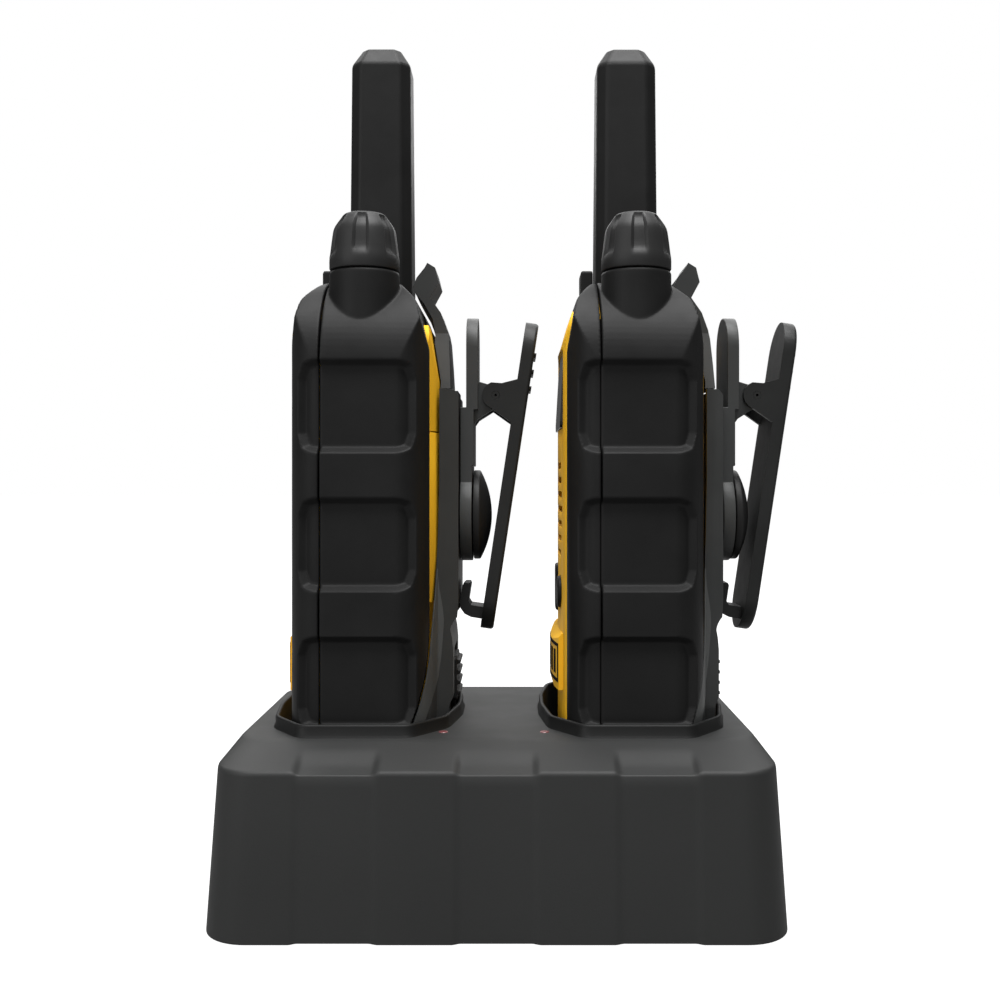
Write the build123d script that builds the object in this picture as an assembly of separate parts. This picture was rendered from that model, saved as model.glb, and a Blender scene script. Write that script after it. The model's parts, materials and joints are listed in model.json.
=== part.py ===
from build123d import *
import os
from math import atan2, cos, degrees, pi, sin, sqrt

# Two handheld two-way radios standing in a desktop charging dock. Millimetres.
# Origin: centre of the dock's underside. +Z up, +X from one radio to the other.
# Each radio faces -X and carries its belt clip on +X; -Y and +Y are its sides.
# A radio is built around its knob axis, standing on z = 0, and then placed twice.

PARTS = "parts"

# ---------------------------------------------------------------- placing
RADIO_PITCH = 65.0
RADIO_MID_X = 0.5
POCKET_FLOOR = 23.7
RADIO_Z = 24.0

# ---------------------------------------------------------------- radio body
SKIN_FRONT = -16.7
SKIN_BACK = 15.7
SKIN_HALF = 30.6
DECK = 124.3
SPLIT_X = -9.1
SPLIT_GAP = 0.4
SPLIT_DEPTH = 0.4
FRONT_CORNER = (7.6, 9.2)
REAR_CORNER = (7.6, 10.3)
SHOULDER_Y = 23.5
SKIN = 3.2
CORE_INSET = 3.4
WALL = 2.0
FACE_HALF = 20.8
FACE_MID = -17.9
FACE_EDGE = -16.9
FACE_TOP = 116.2
FACE_LEAN = (-14.9, 104.9)
BACK_HALF = 20.0
BACK_MID = 18.3
BACK_EDGE = 15.4
BACK_TOP = 113.0
COVER_TOP = 87.0
FIT = 0.3

# side recess panels
PANEL_TOPS = (103.4, 71.5, 39.6)
PANEL_HEIGHT = 21.7
PANEL_END_X = (-13.3, 12.35)
PANEL_END_Y = 27.6
PANEL_DEPTH = 2.0
PANEL_SLOPE = 0.75
PANEL_END_SLOPE = 2.2
PANEL_CORNER = 4.4
PANEL_CORNER_TAPER = 0.85

# ---------------------------------------------------------------- knob, antenna
KNOB_Y = -18.85
KNOB_R = 8.35
COLLAR_TOP = 125.1
KNOB_TOP = 139.0
KNOB_GROOVES = 6
STEM_R = 3.0
STEM_END = 101.5
SHAFT_PLAY = 0.05
ANTENNA_X = 0.5
ANTENNA_Y = 15.9
ANTENNA_BASE = (16.6, 15.7)
ANTENNA_TIP = (15.6, 14.6)
ANTENNA_SHOULDER = 185.4
ANTENNA_TOP = 190.0

LAMP_X = (-12.4, -9.4)
LAMP_HALF = 4.5
LAMP_TOP = 128.2

# ---------------------------------------------------------------- front controls
BUTTON_Z = 47.8
MENU_Y = -8.0
MENU_R = 3.9
ROCKER_Y = 6.0
ROCKER_SIZE = (9.0, 12.0)
BADGE = (15.5, 24.6, 38.2, -19.9)
LENS = (15.0, 88.0, 107.5)

# ---------------------------------------------------------------- push-to-talk
PTT_X = (-7.0, 9.0)
PTT_Z = (84.8, 101.0)
PTT_OUT = 30.9

# ---------------------------------------------------------------- holster, clip
PLATE_OUT = 22.1
PLATE_IN = 20.3
PLATE_HALF = 12.0
PLATE_LOW_OUT = 20.9
PLATE_FOOT_OUT = 19.95
PLATE_TOP = 95.0
ARM_ROOT_Z = 46.3
ARM_INSET = 2.2
COVER_STEP_X = 14.6
COVER_STEP_Y = 14.6
TAB_ROOT_Z = 98.0
TAB_HALF = 7.7
TAB_ROOT_HALF = 11.8
STUD_Z = 66.7
STUD_R = 4.0
DISC_R = 11.7
DISC_X = (22.4, 25.3)
PLATE_FACE = 25.75
CAP_R = 11.3
CAP_X = (25.6, 27.2, 30.1)
CLIP_HALF = 8.3
LEG_X = (23.85, 26.75)
LEG_TOP = 116.7
PIVOT_X = 31.2
PIVOT_Z = 96.6
PIN_R = 0.95
ARM_THICK = 3.3
ARM_HIGH = (38.1, 110.8)
ARM_LOW = (28.8, 48.7)
ARM_TOP = 115.7
ARM_END = 37.9
HOOK_HALF = 4.4
LATCH_Z = (20.3, 31.5)
LATCH_HALF = 6.5
SCOOP_HALF = 13.2
LATCH_TRAVEL = 2.0

# ---------------------------------------------------------------- dock
DOCK_FOOT = (64.3, 49.2, 10.5)
DOCK_BREAK = (62.2, 46.2, 9.5)
DOCK_FLAT = (59.2, 33.2, 9.0)
BREAK_Z = 36.4
FLAT_Z = 40.8
RIM_Z = 43.7
RIM_WALL = 1.1
DOCK_WALL = 2.4
BASE_THICK = 2.5
DOCK_PANELS = (-35.0, 0.0, 35.0)
DOCK_PANEL_HALF = 9.6
DOCK_PANEL_DEPTH = 0.9
LED_X = (-12.7, 10.9)
LED_Y = -25.9
LED_R = 1.15
PIN_ROW_Y = (-8.0, 0.0, 8.0)
CONTACT_X = -4.0
INLET = (9.0, 3.4, 12.0)
FOOT_AT = (50.0, 36.0)
SCREW_AT = (38.0, 38.0)


# ---------------------------------------------------------------- helpers
def block(x, y, z):
    """Box between the two ends given along each axis."""
    size = (x[1] - x[0], y[1] - y[0], z[1] - z[0])
    return Pos((x[0] + x[1]) / 2, (y[0] + y[1]) / 2, (z[0] + z[1]) / 2) * Box(*size)


def prism_xz(points, y0, y1):
    """Side outline in X and Z, drawn out along Y."""
    face = Plane.XZ * Polygon(*points, align=None)
    return Pos(0, y0, 0) * extrude(face, amount=y1 - y0, dir=(0, 1, 0))


def prism_xy(points, z0, z1):
    """Plan outline drawn up along Z."""
    return Pos(0, 0, z0) * extrude(Polygon(*points, align=None), amount=z1 - z0, dir=(0, 0, 1))


def rod_x(radius, x0, x1, y, z):
    return Pos((x0 + x1) / 2, y, z) * Rot(0, 90, 0) * Cylinder(radius, x1 - x0)


def rod_y(radius, y0, y1, x, z):
    return Pos(x, (y0 + y1) / 2, z) * Rot(90, 0, 0) * Cylinder(radius, y1 - y0)


def rod_z(radius, z0, z1, x, y):
    return Pos(x, y, (z0 + z1) / 2) * Cylinder(radius, z1 - z0)


def mirrored(points):
    """Closed plan outline from the points of its +Y half, front to back."""
    return list(points) + [(x, -y) for x, y in reversed(points)]


def upright(x0, x1, half, z0, z1, corner):
    """Plate across X with its four corners rounded, as seen along X."""
    face = Plane.YZ * RectangleRounded(2 * half, z1 - z0, corner)
    return Pos(x0, 0, (z0 + z1) / 2) * extrude(face, amount=x1 - x0, dir=(1, 0, 0))


# ---------------------------------------------------------------- body envelope
def corner_arc(centre, radii, inset, start):
    return EllipticalCenterArc(centre, radii[0] - inset, radii[1] - inset, start, arc_size=90)


def body_plan(inset):
    """Plan of the body: flat front, sides and back joined by elliptical corners."""
    front_x = SKIN_FRONT + FRONT_CORNER[0]
    front_y = SKIN_HALF - FRONT_CORNER[1]
    rear_x = SKIN_BACK - REAR_CORNER[0]
    rear_y = SKIN_HALF - REAR_CORNER[1]
    x0 = SKIN_FRONT + inset
    x1 = SKIN_BACK - inset
    side = SKIN_HALF - inset
    outline = Curve() + [
        Line((x0, 0), (x0, front_y)),
        corner_arc((front_x, front_y), FRONT_CORNER, inset, 90),
        Line((front_x, side), (rear_x, side)),
        corner_arc((rear_x, rear_y), REAR_CORNER, inset, 0),
        Line((x1, rear_y), (x1, 0)),
        Line((x1, 0), (x0, 0)),
    ]
    half = make_face(outline)
    return half + mirror(half, Plane.XZ)


def shoulder_profile(inset):
    """Side view of the body: straight below, leaning in and rounded at the top."""
    below = -20.0
    points = [
        (SKIN_FRONT, below),
        (SKIN_FRONT, 106.0),
        (-14.6, 118.2),
        (-9.9, DECK),
        (7.2, DECK),
        (12.7, 118.2),
        (SKIN_BACK, 106.4),
        (SKIN_BACK, below),
    ]
    face = Polygon(*points, align=None)
    high = [v for v in face.vertices() if v.Y > 0]
    face = fillet(high, 5.9)
    if inset:
        face = offset(face, amount=-inset, kind=Kind.INTERSECTION)
    return face


def envelope(inset):
    """Outer shape of the body moved in by inset on every side but the bottom."""
    tall = extrude(body_plan(inset), amount=DECK - inset)
    side = extrude(Plane.XZ * shoulder_profile(inset), amount=SKIN_HALF + 5, both=True)
    width = 2 * (SKIN_HALF - inset)
    front_face = Pos(0, (DECK - inset) / 2) * Rectangle(width, DECK - inset)
    top = [v for v in front_face.vertices() if v.Y > 1]
    front_face = fillet(top, SHOULDER_Y - inset)
    front = extrude(Plane.YZ * front_face, amount=30, both=True)
    return tall & side & front


def crowned(mid, edge, half, inner, z0, z1, over=0.0):
    """Panel across the body whose outside bows from edge at the sides to mid at the centre.

    The bow carries on past each side by over, on the same circle.
    """
    rise = edge - mid
    bow = (half ** 2 + rise ** 2) / (2 * abs(rise))
    half += over
    edge = mid + (bow - sqrt(bow ** 2 - half ** 2)) * (1 if rise > 0 else -1)
    arc = ThreePointArc((edge, -half), (mid, 0), (edge, half))
    lines = [
        Line((edge, half), (inner, half)),
        Line((inner, half), (inner, -half)),
        Line((inner, -half), (edge, -half)),
    ]
    face = make_face(Curve() + [arc] + lines)
    return Pos(0, 0, z0) * extrude(face, amount=z1 - z0, dir=(0, 0, 1))


def panel_outline(x0, x1, z0, z1, corner):
    """Rectangle in X and Z with its corners cut off."""
    return [
        (x0 + corner, z0),
        (x1 - corner, z0),
        (x1, z0 + corner),
        (x1, z1 - corner),
        (x1 - corner, z1),
        (x0 + corner, z1),
        (x0, z1 - corner),
        (x0, z0 + corner),
    ]


def panel_section(top, side_y):
    """Outline of one recess where it crosses the upright plane at side_y from the middle."""
    rise = (side_y - SKIN_HALF) * PANEL_SLOPE
    spread = (side_y - PANEL_END_Y) * PANEL_END_SLOPE
    x = (PANEL_END_X[0] - spread, PANEL_END_X[1] + spread)
    z = (top - PANEL_HEIGHT - rise, top + rise)
    outline = panel_outline(*x, *z, PANEL_CORNER + PANEL_CORNER_TAPER * rise)
    return Plane.XZ.offset(side_y) * Polygon(*outline, align=None)


def side_panels():
    """Cutters for the three recesses on each side. Their floors follow the body's surface."""
    floor_shape = envelope(PANEL_DEPTH)
    cutters = []
    for top in PANEL_TOPS:
        sections = [panel_section(top, SKIN_HALF + 3), panel_section(top, SKIN_HALF - 3 * PANEL_DEPTH)]
        near = loft(sections, ruled=True) - floor_shape
        cutters += [near, mirror(near, Plane.XZ)]
    return cutters


# ---------------------------------------------------------------- radio pieces
def face_window(clear):
    return upright(SKIN_FRONT - 3, SPLIT_X - 1, FACE_HALF + clear, -20, FACE_TOP + clear, 5)


def back_window(clear):
    return upright(SKIN_BACK - 6, SKIN_BACK + 3, BACK_HALF + clear, -20, BACK_TOP + clear, 5)


def ptt_block(clear, y0, y1):
    x = (PTT_X[0] - clear, PTT_X[1] + clear)
    z = (PTT_Z[0] - clear, PTT_Z[1] + clear)
    body = block(x, (y0, y1), z)
    return fillet(body.edges().filter_by(Axis.Y), 3.5)


def make_bumpers():
    """Front and rear rubber skins, split along one upright line."""
    outer = envelope(0)
    skin = outer - envelope(SKIN)
    for cutter in side_panels():
        skin -= cutter
    skin -= face_window(0.15)
    skin -= back_window(0.15)
    collar = rod_z(KNOB_R, 108, COLLAR_TOP, 0, KNOB_Y)
    collar = chamfer(collar.edges().group_by(Axis.Z)[-1], 0.4)
    skin += collar - envelope(SKIN)
    socket = chamfer(Rectangle(*ANTENNA_BASE).vertices(), 2.6)
    socket = Pos(ANTENNA_X, ANTENNA_Y, 108) * extrude(socket, amount=DECK - 108, dir=(0, 0, 1))
    skin += socket - envelope(SKIN)
    lamp = block(LAMP_X, (-LAMP_HALF, LAMP_HALF), (119.0, LAMP_TOP))
    skin += fillet(lamp.edges().group_by(Axis.Z)[-1], 0.5)
    skin -= rod_z(STEM_R + 0.4, 100, 140, 0, KNOB_Y)
    skin -= rod_z(5.2, 100, 140, ANTENNA_X, ANTENNA_Y)
    skin -= ptt_block(FIT, 20, 40)
    skin -= holster_arm_space(0.35)
    front = skin & block((-40, SPLIT_X - SPLIT_GAP / 2), (-40, 40), (-1, 150))
    rear = skin & block((SPLIT_X + SPLIT_GAP / 2, 40), (-40, 40), (-1, 150))
    tongue = skin & envelope(SPLIT_DEPTH + PANEL_DEPTH)
    tongue &= block((SPLIT_X - SPLIT_GAP / 2 + 0.02, SPLIT_X + SPLIT_GAP), (-40, 40), (-1, 113))
    return front, rear + tongue


def make_front_housing():
    """Front shell with the bowed face, windows for display, keys and sound, and a raised badge block."""
    front_half = block((-40, SPLIT_X), (-40, 40), (0, 150))
    shell = envelope(CORE_INSET) & front_half
    face = crowned(FACE_MID, FACE_EDGE, FACE_HALF, SPLIT_X, 0, FACE_TOP + 2, 2)
    rounding = upright(-30, SPLIT_X, FACE_HALF, -20, FACE_TOP, 5)
    top_x, low_z = FACE_LEAN
    lean = prism_xz([(0, -1), (FACE_MID - 1, -1), (FACE_MID - 1, low_z), (FACE_EDGE, low_z + 5.1),
                     (top_x, FACE_TOP + 1), (0, FACE_TOP + 1)], -40, 40)
    shell += face & rounding & lean
    half, z0, z1, out = BADGE
    badge = prism_xz([(FACE_EDGE + 2, z0), (out + 0.6, z0), (out, z0 + 1.4), (out, z1 - 2.4),
                      (FACE_MID + 0.2, z1), (FACE_EDGE + 2, z1)], -half, half)
    badge &= crowned(out, out + 1.5, half, -10, z0 - 1, z1 + 1)
    shell += badge
    room = envelope(CORE_INSET + WALL) & front_half
    half_room = FACE_HALF - WALL
    room += block((FACE_EDGE + WALL, SPLIT_X), (-half_room, half_room), (WALL, FACE_TOP - 2 * WALL))
    room &= block((-40, 40), (-40, 40), (WALL, 150))
    shell -= room
    shell -= upright(-30, -10, LENS[0], LENS[1], LENS[2], 2)
    shell -= rod_x(MENU_R + FIT, -30, -10, MENU_Y, BUTTON_Z)
    shell -= rocker_block(FIT, -30, -10)
    slot_pitch = 3.6
    for n in range(7):
        z = 57.5 + n * slot_pitch
        half_slot = 13.5 - abs(n - 3) * 1.1
        shell -= upright(-30, -10, half_slot, z - 0.8, z + 0.8, 0.7)
    shell -= ptt_block(FIT, 20, 40)
    return shell


def rocker_block(clear, x0, x1):
    y = (ROCKER_Y - ROCKER_SIZE[0] / 2 - clear, ROCKER_Y + ROCKER_SIZE[0] / 2 + clear)
    z = (BUTTON_Z - ROCKER_SIZE[1] / 2 - clear, BUTTON_Z + ROCKER_SIZE[1] / 2 + clear)
    body = block((x0, x1), y, z)
    return fillet(body.edges().filter_by(Axis.X), 2.5)


def boss_places():
    return [(y, z) for y in (-22.9, 22.9) for z in (11.0, 79.0)]


def back_crown(clear):
    """Bowed back above and below the cover seam, leaning in towards the top."""
    back = crowned(BACK_MID + clear, BACK_EDGE + clear, BACK_HALF, 5, 60, BACK_TOP + 2, 2)
    return back & prism_xz([(0, 50), (BACK_MID + 0.1 + clear, 50), (BACK_MID + 0.1 + clear, 94),
                            (14.9 + clear, BACK_TOP + 1), (14.9 + clear, BACK_TOP + 2), (0, BACK_TOP + 2)],
                           -40, 40)


def make_rear_housing():
    """Rear shell: electronics room in front, battery bay behind it, bosses for the case screws."""
    rear_half = block((SPLIT_X + 0.05, 40), (-40, 40), (0, 150))
    shell = envelope(CORE_INSET) & rear_half
    back = back_crown(0) & block((0, 40), (-40, 40), (COVER_TOP + FIT, 150))
    shell += back & upright(4, 30, BACK_HALF, -20, BACK_TOP, 5)
    low_room = envelope(CORE_INSET + WALL) & block((-20, -1.8), (-40, 40), (WALL, 150))
    top_room = envelope(CORE_INSET + WALL) & block((-20, 40), (-40, 40), (COVER_TOP + 3, 150))
    shell -= low_room + top_room
    shell -= block((0, 40), (-19.2, 19.2), (4, COVER_TOP - 2))
    shell -= block((9.5, 40), (-40, 40), (-1, COVER_TOP + FIT)) & upright(0, 40, BACK_HALF, -20, 150, 1)
    for y, z in boss_places():
        tube = rod_x(2.6, SPLIT_X + 0.05, 11, y, z)
        shell += tube & (envelope(CORE_INSET))
        shell -= rod_x(1.05, -20, 20, y, z)
        shell -= rod_x(2.1, 10.5, 20, y, z)
    shell -= rod_z(STEM_R + 0.4, 100, 140, 0, KNOB_Y)
    shell -= rod_z(4.6, 100, 140, ANTENNA_X, ANTENNA_Y)
    for y in PIN_ROW_Y:
        shell -= rod_z(1.6, -1, 3, CONTACT_X, y)
    shell -= ptt_block(FIT, 20, 40)
    return shell


def make_battery_cover():
    """Bowed cover over the battery, with two feet that hook under the rear shell."""
    cover = crowned(BACK_MID, BACK_EDGE, BACK_HALF, 13.2, 0.4, COVER_TOP + 2, 2)
    cover &= upright(0, 30, BACK_HALF, -20, COVER_TOP, 1)
    cover -= block((13.9, 16.0), (-17.5, 17.5), (ARM_ROOT_Z, COVER_TOP - 3))
    for side in (-1, 1):
        edge = sorted((side * COVER_STEP_Y, side * 40))
        cover -= block((COVER_STEP_X, 40), edge, (-5, ARM_ROOT_Z))
    return cover


def make_battery_latch():
    """Ribbed slide below the clip that locks the battery cover."""
    z0, z1 = LATCH_Z
    slide = block((BACK_MID + 0.25, PLATE_LOW_OUT + 0.6), (-LATCH_HALF, LATCH_HALF), LATCH_Z)
    slide = fillet(slide.edges().filter_by(Axis.X), 1.2)
    for n in range(4):
        low = z0 + 1.0 + n * 2.6
        slide += prism_xz([(20.5, low), (22.4, low + 0.5), (22.4, low + 1.2), (20.5, low + 1.7)],
                          -LATCH_HALF + 0.8, LATCH_HALF - 0.8)
    return slide


def make_battery_pack():
    """Three cells side by side in one sleeve."""
    cell = 6.1
    pitch = 12.3
    pack = rod_z(cell, 8, 62, 6.6, 0)
    for side in (-1, 1):
        pack += rod_z(cell, 8, 62, 6.6, side * pitch)
        pack += block((0.6, 12.4), (min(0, side * pitch), max(0, side * pitch)), (9, 61))
    pack += block((2, 10), (-6, 6), (61, 66))
    return pack


def make_antenna():
    """Stubby antenna: tapered, with flats along its corners and a low pointed cap."""
    half_cut = 2.6

    def section(size, z):
        face = chamfer(Rectangle(*size).vertices(), half_cut)
        return Pos(ANTENNA_X, ANTENNA_Y, z) * face

    tip = (ANTENNA_TIP[0] - 5.6, ANTENNA_TIP[1] - 5.6)
    cap_face = chamfer(Rectangle(*tip).vertices(), half_cut - 1.0)
    mast = loft([section(ANTENNA_BASE, DECK + 0.02), section(ANTENNA_TIP, ANTENNA_SHOULDER)], ruled=True)
    cap = loft([section(ANTENNA_TIP, ANTENNA_SHOULDER),
                Pos(ANTENNA_X, ANTENNA_Y, ANTENNA_TOP) * cap_face], ruled=True)
    root = rod_z(4.4, 113, DECK + 1, ANTENNA_X, ANTENNA_Y)
    return mast + cap + root


def make_knob():
    """Volume knob with finger grooves and its own stem."""
    low = COLLAR_TOP + FIT
    bevel = 135.5
    profile = [
        (0, low),
        (KNOB_R - 0.4, low),
        (KNOB_R, low + 0.5),
        (KNOB_R, low + 2.6),
        (7.25, bevel),
        (4.7, KNOB_TOP),
        (0, KNOB_TOP),
    ]
    knob = revolve(Plane.XZ * Polygon(*profile, align=None), Axis.Z)
    groove = block((6.3, 12), (-1.75, 1.75), (low + 3.0, KNOB_TOP + 1))
    groove = Pos(0.95, 0, 0) * Rot(0, -6.0, 0) * Pos(0, 0, -low - 3.0) * groove
    groove = Pos(0, 0, low + 3.0) * groove
    for n in range(KNOB_GROOVES):
        knob -= Rot(0, 0, 30 + n * 360 / KNOB_GROOVES) * groove
    knob += rod_z(STEM_R, STEM_END, low + 1, 0, 0)
    return Pos(0, KNOB_Y, 0) * knob


def make_pot():
    """Rotary control that the knob's stem turns in."""
    pot = block((-5.0, 5.5), (KNOB_Y - 5.0, KNOB_Y + 5.5), (99.5, 105.0))
    pot += rod_z(3.8, 104.5, 109.4, 0, KNOB_Y)
    pot -= rod_z(STEM_R + SHAFT_PLAY, STEM_END - 0.5, 120, 0, KNOB_Y)
    return pot


def make_board():
    """Main circuit board with its larger components."""
    board = block((-8.2, -6.6), (-19.6, 19.6), (6, 104))
    board += block((-6.7, -4.2), (-9, 9), (66, 84))
    board += block((-6.7, -3.6), (6, 18), (30, 48))
    board += block((-6.7, -4.6), (-18, -8), (36, 46))
    board += block((-6.7, -3.8), (8, 18), (90, 100))
    board += block((-8.9, -8.1), (-12, -5), (BUTTON_Z - 3, BUTTON_Z + 3))
    return board


def make_speaker():
    """Loudspeaker: rim, basket and magnet."""
    speaker = rod_x(16.5, -14.4, -13.0, 0, 68.5)
    speaker += rod_x(13.0, -13.1, -11.0, 0, 68.5)
    speaker += rod_x(7.5, -11.1, -9.2, 0, 68.5)
    speaker -= rod_x(12.0, -14.5, -13.4, 0, 68.5)
    return speaker


def make_display():
    return block((-14.3, -10.2), (-17.5, 17.5), (87.0, 108.5)) - block((-15, -13.9), (-15, 15), (89.5, 106))


def make_lens():
    """Display window, tilted a little, its lower lip standing out."""
    half, z0, z1 = LENS
    gap = 0.15
    lens = prism_xz([(-15.4, z0 + gap), (-18.1, z0 + gap), (-18.1, z0 + 1.8), (-17.1, z1 - gap),
                     (-15.4, z1 - gap)], -half + gap, half - gap)
    return lens & upright(-30, 0, half - gap, z0 + gap, z1 - gap, 1.8)


def make_menu_button():
    cap = rod_x(MENU_R, -18.6, -15.6, MENU_Y, BUTTON_Z)
    cap = fillet(cap.edges().group_by(Axis.X)[0], 0.6)
    stem = rod_x(1.4, -15.7, -10.1, MENU_Y, BUTTON_Z)
    return cap + stem


def make_rocker():
    pad = rocker_block(0, -18.5, -15.6)
    pad = fillet(pad.edges().group_by(Axis.X)[0], 0.6)
    return pad + rod_y(1.2, ROCKER_Y - 4, ROCKER_Y + 4, -15.0, BUTTON_Z)


def make_ptt():
    """Push-to-talk key on the far side, with ribs for the thumb."""
    key = ptt_block(0, 26.4, PTT_OUT - 0.5)
    mid = (PTT_X[0] + PTT_X[1]) / 2
    for n in range(3):
        z = 89.2 + n * 3.7
        rib = block((mid - 4.5, mid + 4.5), (PTT_OUT - 0.8, PTT_OUT), (z - 0.7, z + 0.7))
        key += fillet(rib.edges().filter_by(Axis.Y), 0.6)
    return key


def make_contacts():
    pads = [rod_z(1.5, 1.0, 2.2, CONTACT_X, y) for y in PIN_ROW_Y]
    return Compound(children=pads)


def make_case_screws():
    screws = []
    for y, z in boss_places():
        shank = rod_x(1.0, -9.0, 10.6, y, z)
        head = rod_x(1.8, 10.55, 11.4, y, z) - rod_x(0.8, 11.0, 12.5, y, z)
        screws.append(shank + head)
    return Compound(children=screws)


# ---------------------------------------------------------------- holster
def holster_front_edge():
    """Front edge of the holster's arms, sweeping forward towards the bottom, closed at the back."""
    return [
        (17.6, 112.0),
        (17.6, 76.0),
        (17.3, 62.0),
        (16.65, 48.3),
        (16.1, 40.0),
        (15.6, 33.0),
        (14.9, 28.0),
        (13.5, 22.5),
        (11.3, 16.0),
        (8.5, 8.0),
        (7.5, 1.2),
        (30.0, 1.2),
        (30.0, 112.0),
    ]


def holster_plan():
    """Plan of the holster's outside: arms round the rear corners of the body, then the flat back."""
    return mirrored([(5.0, 29.6), (8.5, 29.4), (12.0, 27.7), (14.8, 24.0), (16.1, 20.5),
                     (17.1, 15.2), (PLATE_OUT, PLATE_HALF)])


def holster_arm_space(clear):
    """Room in the rubber skin for the holster's arms."""
    side = prism_xz(holster_front_edge(), -40, 40)
    low = side & block((0, 40), (-40, 40), (-10, 62))
    moved = Pos(-clear, 0, 0) * low
    moved = moved + Pos(-clear, 0, -3) * (low & block((0, 40), (-40, 40), (-10, 10)))
    return (moved - envelope(ARM_INSET + clear)) & block((0, 40), (-40, 40), (-10, ARM_ROOT_Z))


def make_holster():
    """Belt holster: flat back, arms round the body, window at the lower back."""
    side = prism_xz(holster_front_edge(), -40, 40)
    shape = side & prism_xy(holster_plan(), 0, 120)
    shape -= envelope(ARM_INSET)
    shape -= crowned(BACK_MID + 0.3, BACK_EDGE + 0.4, BACK_HALF + 0.6, 0, ARM_ROOT_Z, 125)
    shape -= block((0, COVER_STEP_X + 0.3), (-22, 22), (-5, ARM_ROOT_Z + 1))
    cover_room = crowned(BACK_MID + 0.3, BACK_EDGE + 0.4, BACK_HALF + 0.6, 0, -5, ARM_ROOT_Z + 1)
    shape -= cover_room & block((0, 40), (-COVER_STEP_Y - 0.3, COVER_STEP_Y + 0.3), (-5, ARM_ROOT_Z + 1))
    shape -= prism_xy(mirrored([(10.0, 14.0), (16.2, 14.0), (PLATE_IN, PLATE_HALF - 1.3)]), -5, 125)
    top_cut = prism_xz([(16.0, PLATE_TOP + 3.5), (PLATE_IN, PLATE_TOP + 3.5), (24, PLATE_TOP - 1.0),
                        (40, PLATE_TOP - 1.0), (40, 130), (16.0, 130)], -40, 40)
    shape -= top_cut
    low_back = prism_xz([(PLATE_FOOT_OUT, -5), (PLATE_FOOT_OUT, 20.5), (PLATE_LOW_OUT, 22.5),
                         (PLATE_LOW_OUT, 32), (21.6, 38), (PLATE_OUT + 0.1, 48), (40, 48),
                         (40, -5)], -40, 40)
    shape -= low_back
    shape -= upright(16.0, 40, SCOOP_HALF, -30, 44.5, 6)
    scoop = prism_xz([(18.75, 1.2), (PLATE_FOOT_OUT, 1.2), (PLATE_FOOT_OUT, 20.5), (PLATE_LOW_OUT, 22.5),
                      (PLATE_LOW_OUT, 34.0), (20.6, 37.0), (20.0, 40.0), (19.6, 46.0), (18.75, 46.0)],
                     -SCOOP_HALF - 0.5, SCOOP_HALF + 0.5)
    scoop &= prism_xy(holster_plan(), 0, 120)
    shape += scoop - upright(10, 40, LATCH_HALF + FIT, -30, LATCH_Z[1] + LATCH_TRAVEL + FIT, 1)
    shape -= rod_x(STUD_R + 0.01, 10, 40, 0, STUD_Z)
    strap = block((PLATE_IN - 0.4, PLATE_IN + 1.5), (-TAB_HALF, TAB_HALF), (PLATE_TOP - 3, TAB_ROOT_Z - 0.3))
    shape -= block((0, 40), (-40, 40), (TAB_ROOT_Z - 0.3, 200)) & block((0, 40), (-15, 15), (0, 200))
    return shape + (strap - rod_x(STUD_R, 0, 40, 0, STUD_Z))


def make_release_tab():
    """Springy strap over the shoulder, with flanks beside the back cover and a thick finger lip."""
    outer = [
        (20.15, TAB_ROOT_Z),
        (19.9, 104.0),
        (19.5, 110.6),
        (19.1, 112.8),
        (17.5, 117.2),
        (14.9, 120.9),
        (17.0, 124.8),
        (16.1, 128.4),
        (14.15, 129.6),
    ]
    inner = [
        (13.5, 128.4),
        (11.5, 125.9),
        (10.6, 123.6),
        (11.0, 122.3),
        (13.4, 119.3),
        (15.5, 115.6),
        (16.2, 112.0),
        (16.0, 108.0),
        (16.4, 104.0),
        (16.9, TAB_ROOT_Z),
    ]
    tab = prism_xz(outer + inner, -TAB_ROOT_HALF, TAB_ROOT_HALF)
    taper = [(-TAB_ROOT_HALF, TAB_ROOT_Z - 1), (-TAB_ROOT_HALF, TAB_ROOT_Z), (-TAB_HALF, 112.0),
             (-TAB_HALF, 131)]
    taper += [(-y, z) for y, z in reversed(taper)]
    tab &= extrude(Plane.YZ * Polygon(*taper, align=None), amount=40, dir=(1, 0, 0))
    tab -= back_crown(0.4)
    tab -= prism_xz([(5, 90), (18.2, 90), (18.1, 101.0), (17.4, 111.0), (15.9, 115.8), (14.2, 118.4),
                     (5, 118.4)], -TAB_HALF + 1.7, TAB_HALF - 1.7)
    return tab


# ---------------------------------------------------------------- belt clip
def ear(points, y0, y1):
    """One pair of pivot ears."""
    return prism_xz(points, y0, y1) + prism_xz(points, -y1, -y0)


def make_clip_base():
    """Turning half of the belt clip: disc on the stud, plate, finger leg and inner ears."""
    disc = rod_x(DISC_R, DISC_X[0], DISC_X[1], 0, STUD_Z)
    plate = block(DISC_X, (-CLIP_HALF, CLIP_HALF), (STUD_Z, 93.6))
    plate += block((DISC_X[0], PLATE_FACE), (-CLIP_HALF, CLIP_HALF), (STUD_Z + CAP_R + 1.0, 93.6))
    leg = upright(LEG_X[0], LEG_X[1], CLIP_HALF, 84.0, LEG_TOP, CLIP_HALF - 0.05)
    leg &= block((0, 60), (-40, 40), (93.0, 200))
    base = disc + plate + leg
    base += ear([(25.5, 100.4), (LEG_X[1], 100.2), (PIVOT_X, 98.9), (PIVOT_X + 1.9, 97.6),
                 (PIVOT_X + 1.9, 95.4), (PIVOT_X, 93.6), (LEG_X[1], 90.8), (25.5, 89.0)], 4.7, 6.3)
    base -= rod_y(PIN_R, -10, 10, PIVOT_X, PIVOT_Z)
    base -= rod_x(STUD_R + SHAFT_PLAY, 10, 40, 0, STUD_Z)
    return base


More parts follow.
